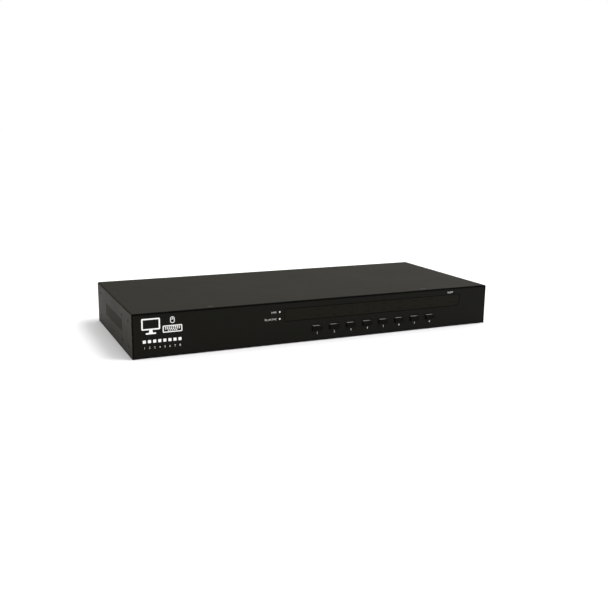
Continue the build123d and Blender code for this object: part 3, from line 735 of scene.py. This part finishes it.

# ---------------------------------------------------------------------------
# Channel buttons and reset plunger: moulded caps with a bevelled face, rubbed
# smooth in the middle, with a painted highlight along the left two thirds of
# the upper edge, and a pale post behind the reset hole.
# ---------------------------------------------------------------------------
BEVEL = 0.0004
FLANGE = 0.0012
RUBBED_HALF = 0.0036
UNLIT_FROM_MIDDLE = 0.0043
UNLIT_HALF = 0.0024
CAP_BLACK = (0.0014, 0.0012, 0.0007)
CAP_GREY = (0.0036, 0.0034, 0.0026)
# Colour of the painted highlight along the caps' top bevel.
CAP_HIGHLIGHT = (0.16, 0.16, 0.153)
button_middle = middle("button_1", X)
button_pitch = middle("button_2", X) - button_middle
cap_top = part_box("button_1")[1][Z] - FLANGE
cap_black = Finish("button_moulding", Specular_IOR_Level=0.05)
offset = cap_black.along("X") - button_middle
from_middle = offset.apart(button_pitch)
rubbed = from_middle.below(RUBBED_HALF, 0.003) * cap_black.noise(500, 3).above(0.4, 0.4)
# Painted highlight: the top bevel of each cap is coloured pale, all but its right third.
unlit_third = (offset - UNLIT_FROM_MIDDLE).apart(button_pitch).below(UNLIT_HALF, 0.0020)
on_bevel = cap_black.along("Z").above(cap_top - 0.8 * BEVEL, 0.2 * BEVEL)
painted_highlight = on_bevel * (1 - unlit_third) * (cap_black.noise(900, 2) * 0.5 + 0.6)
grained = cap_black.blend(cap_black.noise(600, 3).above(0.6, 0.3), CAP_BLACK, CAP_GREY)
cap_black.set(
    Base_Color=cap_black.blend(painted_highlight, grained, CAP_HIGHLIGHT),
    Roughness=cap_black.noise(2400, 2) * 0.14 + 0.30 - rubbed * 0.10,
    Normal=cap_black.bump(cap_black.noise(4200, 2), 0.25, 0.00005),
)
dress(cap_black, *[f"button_{channel}" for channel in CHANNELS])
dress(moulding("white_plunger", (0.70, 0.67, 0.58), (0.60, 0.57, 0.49)), "reset_plunger")

# ---------------------------------------------------------------------------
# Window: a strip of dark smoked acrylic, glued behind the panel. Its back is
# printed black but for an opening over each light, and these openings are painted
# darker as the shade behind them. The edge of the pane is sunk, rough and painted
# dark as the shade in the gap round it, and wiping has left hairline scratches.
# ---------------------------------------------------------------------------
LIP = 0.0015
RIM = 0.0005
CORNER_R = 0.005
SLOT_HALF_W = 0.0026
SLOT_HALF_H = 0.0011
smoked = Finish("smoked_acrylic", Specular_IOR_Level=0.075)
pane_low, pane_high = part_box("led_window")
pane_x = middle("led_window", X)
pane_z = middle("led_window", Z)
to_side = (pane_high[X] - LIP - pane_x) - abs(smoked.along("X") - pane_x)
to_top = (pane_high[Z] - LIP - pane_z) - abs(smoked.along("Z") - pane_z)
right = (smoked.along("X") - (pane_high[X] - LIP - CORNER_R)).math("MAXIMUM", 0)
down = ((pane_low[Z] + LIP + CORNER_R) - smoked.along("Z")).math("MAXIMUM", 0)
to_corner = CORNER_R - (right * right + down * down).math("SQRT")
# The band round the edge of the pane: painted dark as the shade in the gap round it, and also sunk and
# rougher.
shaded_rim = to_side.math("MINIMUM", to_top).math("MINIMUM", to_corner).below(RIM, RIM / 3)

# Openings over the lights, painted darker as the shade behind the window.
over_light = (smoked.along("X") - button_middle).apart(button_pitch).below(SLOT_HALF_W, 0.0002)
in_link_row = abs(smoked.along("Z") - middle("link_lights", Z)).below(SLOT_HALF_H, 0.0002)
in_active_row = abs(smoked.along("Z") - middle("active_lights", Z)).below(SLOT_HALF_H, 0.0002)
past_first = smoked.along("X").above(button_middle - button_pitch / 2, 0.001)
before_end = smoked.along("X").below(button_middle + (len(CHANNELS) - 0.5) * button_pitch, 0.001)
shaded_slot = over_light * (in_link_row + in_active_row) * past_first * before_end

scratches = smoked.streaks((60, 60, 5200)).above(0.68, 0.05)
haze = smoked.noise(22, 4)
tinted = smoked.blend(scratches * 0.15 + haze * 0.3, (0.0042, 0.0037, 0.0012), (0.0095, 0.0088, 0.0052))
with_slot_shade = smoked.blend(shaded_slot * 0.6, tinted, (0.0012, 0.0012, 0.0008))
smoked.set(
    Base_Color=smoked.blend(shaded_rim, with_slot_shade, (0.0006, 0.0006, 0.0005)),
    Roughness=haze * 0.10 + scratches * 0.12 + 0.12 + shaded_rim * 0.5,
    Normal=smoked.bump(smoked.noise(45, 2) - shaded_rim * 0.6, 0.05, 0.0004),
)
dress(smoked, "led_window")

# ---------------------------------------------------------------------------
# Printing on the front, in the same ink: numbers under the buttons, the names
# of the two rows of lights with their pointers, and left a plain picture of
# screen, keyboard and mouse over a row of eight numbered squares.
# ---------------------------------------------------------------------------
NUMBER_Z = 0.0083
NUMBER_H = 0.0023
front_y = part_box("front_panel")[0][Y]
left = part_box("top_cover")[0][X]
for channel in CHANNELS:
    x = middle(f"button_{channel}", X)
    words(f"number_{channel}", str(channel), x, NUMBER_Z, NUMBER_H, front_y, -1)

NAME_END = 0.1455
NAME_H = 0.0018
POINTER_TIP = 0.1503
POINTER_W = 0.0018
POINTER_HALF = 0.0011
tip = left + POINTER_TIP
back = tip - POINTER_W
for name, text, z in (("link", "LINK", 0.0339), ("active", "PC ACTIVE", 0.0267)):
    words(f"row_name_{name}", text, left + NAME_END, z, NAME_H, front_y, -1, "RIGHT")
    pointer = [(back, z - POINTER_HALF), (tip, z), (back, z + POINTER_HALF)]
    printed(f"pointer_{name}", front_y, -1, [pointer])

RESET_NAME_X = 0.3541
RESET_NAME_Z = 0.0390
RESET_NAME_H = 0.0019
words("reset_name", "RESET", left + RESET_NAME_X, RESET_NAME_Z, RESET_NAME_H, front_y, -1)

SCREEN_X = 0.0180
SCREEN_Z = 0.0242
SCREEN_W = 0.0178
KEYBOARD_X = 0.0388
KEYBOARD_Z = 0.0238
KEYBOARD_W = 0.0190
MOUSE_Z = 0.0325
MOUSE_W = 0.0043
printed("screen_sign", front_y, -1, screen_picture(left + SCREEN_X, SCREEN_Z, SCREEN_W))
printed("keyboard_sign", front_y, -1, keyboard_picture(left + KEYBOARD_X, KEYBOARD_Z, KEYBOARD_W))
printed("mouse_sign", front_y, -1, mouse_picture(left + KEYBOARD_X, MOUSE_Z, MOUSE_W))

SQUARE = 0.0030
SQUARE_R = 0.0005
SQUARE_Z = 0.0150
SQUARES_FROM = 0.0100
SQUARES_TO = 0.0473
SQUARE_NUMBER_Z = 0.0104
SQUARE_NUMBER_H = 0.0021
square_pitch = (SQUARES_TO - SQUARES_FROM - SQUARE) / (len(CHANNELS) - 1)
squares = []
for channel in CHANNELS:
    near = left + SQUARES_FROM + (channel - 1) * square_pitch
    squares.append(rounded(near, SQUARE_Z, near + SQUARE, SQUARE_Z + SQUARE, SQUARE_R))
    x = near + SQUARE / 2
    words(f"square_number_{channel}", str(channel), x, SQUARE_NUMBER_Z, SQUARE_NUMBER_H, front_y, -1)
printed("channel_squares", front_y, -1, squares)

# ---------------------------------------------------------------------------
# Top cover: one sheet folded into a top and two skirts, in the same powder as
# the tray. Its cut edges are painted dark as the shade in the gaps along them,
# it is darker along the folds, and it is rubbed to bare steel in a few places
# along the folds. Its ear holes are tapped.
# ---------------------------------------------------------------------------
FOLD_BAND = 0.0007
CUT_SHADE_BAND = 0.0011
CUT_SHADE_FOLD_DARK = (0.0014, 0.0014, 0.0012)
BARE_STEEL = (0.20, 0.20, 0.19)
cover_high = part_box("top_cover")[1]
cover_coat = powder_coat("cover_powder_coat", CASE_BLACK, CASE_DUSTY, CASE_LUMPS, CASE_SHINE)
on_side = abs(cover_coat.along("X")).above(cover_high[X] - FOLD_BAND, 0.0006)
on_top = cover_coat.along("Z").above(cover_high[Z] - FOLD_BAND, 0.0006)
on_cut = abs(cover_coat.along("Y")).above(cover_high[Y] - CUT_SHADE_BAND, 0.0005)
on_fold = on_side * on_top
bare = on_fold * cover_coat.noise(260, 4, 0.7).above(0.66, 0.05)
# Cut edges painted dark as the shade in the gaps along them; the folds are darkened too.
shaded_and_darkened = cover_coat.blend(on_cut.math("MAXIMUM", on_fold * 0.8), cover_coat.colour(), CUT_SHADE_FOLD_DARK)
cover_coat.set(
    Base_Color=cover_coat.blend(bare * 0.6, shaded_and_darkened, BARE_STEEL),
    Metallic=bare * 0.5,
)
dress(cover_coat, "top_cover")

EAR_SUNK = 0.00005
EAR_THREAD_R = 0.00164
EAR_RIDGE = 0.00025
EAR_PITCH = 0.0003
EAR_TURNS = 3
tapped = []
for mount in frame["record"]["mounts"]:
    if mount["kind"] == "bolt_pattern":
        x, y, z = mount["pos_m"]
        half_y = mount["dims"].get("spacing_x_mm", 0) / 2000
        half_z = mount["dims"]["spacing_y_mm"] / 2000
        for dy in sorted({-half_y, half_y}):
            for dz in (-half_z, half_z):
                tapped.append((math.copysign(1, x), y + dy, z + dz))
for name, facing in (("left_ear_threads", -1), ("right_ear_threads", 1)):
    mouths = [(facing * (cover_high[X] - EAR_SUNK), y, z) for side, y, z in tapped if side == facing]
    thread(name, case_coat, mouths, (-facing, 0, 0), EAR_THREAD_R, EAR_RIDGE, EAR_PITCH, EAR_TURNS)

# ---------------------------------------------------------------------------
# Cover screws: countersunk, cross-headed, blackened steel, a little paler in
# patches where the driver has worn it.
# ---------------------------------------------------------------------------
blackened = Finish("blackened_screw", Metallic=0.15, Specular_IOR_Level=0.08)
driven = blackened.noise(700, 3).above(0.5, 0.2)
blackened.set(
    Base_Color=blackened.blend(driven, (0.022, 0.021, 0.018), (0.080, 0.077, 0.070)),
    Roughness=blackened.noise(1500) * 0.2 + 0.42,
    Normal=blackened.bump(blackened.noise(3000, 2), 0.2, 0.00005),
)
dress(blackened, "cover_screws")

# ---------------------------------------------------------------------------
# Floor, light and camera. The air looks white but lights the object dimly, a
# little more from the right. A dome of soft light whitens the floor, and a
# small round lamp high on the right gives the bevels their glint.
# ---------------------------------------------------------------------------
FLOOR_HALF = 30.0
paper = Finish("pale_floor", Base_Color=(0.8, 0.8, 0.8, 1), Roughness=0.9, Specular_IOR_Level=0.0)
floor_mesh = bpy.data.meshes.new("floor")
corners = [(x * FLOOR_HALF, y * FLOOR_HALF, 0) for x, y in ((-1, -1), (1, -1), (1, 1), (-1, 1))]
floor_mesh.from_pydata(corners, [], [(0, 1, 2, 3)])
floor_mesh.materials.append(paper.material)
floor = bpy.data.objects.new("floor", floor_mesh)
bpy.context.collection.objects.link(floor)

AIR = 0.12
AIR_RIGHT = 0.82
world = bpy.data.worlds.new("studio")
world.use_nodes = True
air = Graph(world.node_tree, "Background")
bearing = air.node("TexCoord", out="Generated")
rightward = air.node("SeparateXYZ", out="X", Vector=bearing).math("MAXIMUM", 0)
looked_at = air.node("LightPath", out="Is Camera Ray")
air.set(Color=(1, 1, 1, 1), Strength=looked_at + (1 - looked_at) * (rightward * AIR_RIGHT + AIR))
bpy.context.scene.world = world
bpy.context.scene.view_settings.view_transform = "Standard"


def sunlight(name, toward, angle, strength, shines):
    """A far, round light, angle degrees wide, that is mirrored only if it shines."""
    light = bpy.data.lights.new(name, "SUN")
    light.energy = strength
    light.angle = math.radians(angle)
    lamp = bpy.data.objects.new(name, light)
    bpy.context.collection.objects.link(lamp)
    lamp.rotation_euler = Vector(toward).to_track_quat("Z", "Y").to_euler()
    lamp.visible_glossy = shines


sunlight("dome", (0, 0, 1), 170, 3.0, False)
sunlight("spot", (0.49, -0.23, 0.84), 25, 1.5, True)

EYE = Vector((-0.350935, -0.792647, 0.211999))
AZIMUTH = math.radians(24.7086)
DOWN = math.radians(12.4536)
ROLL = math.radians(0.7653)
LENS = 46.485
SENSOR = 36
NEAREST = 0.01
forward = Vector((math.sin(AZIMUTH), math.cos(AZIMUTH), 0))
ahead = math.cos(DOWN) * forward - math.sin(DOWN) * Vector((0, 0, 1))
level = Vector((math.cos(AZIMUTH), -math.sin(AZIMUTH), 0))
upward = level.cross(ahead)
across = math.cos(ROLL) * level + math.sin(ROLL) * upward
over = -math.sin(ROLL) * level + math.cos(ROLL) * upward
camera_data = bpy.data.cameras.new("camera")
camera_data.lens = LENS
camera_data.sensor_width = SENSOR
camera_data.clip_start = NEAREST
camera = bpy.data.objects.new("camera", camera_data)
bpy.context.collection.objects.link(camera)
turn = Matrix((across, over, -ahead)).transposed().to_4x4()
camera.matrix_world = Matrix.Translation(EYE) @ turn
bpy.context.scene.camera = camera
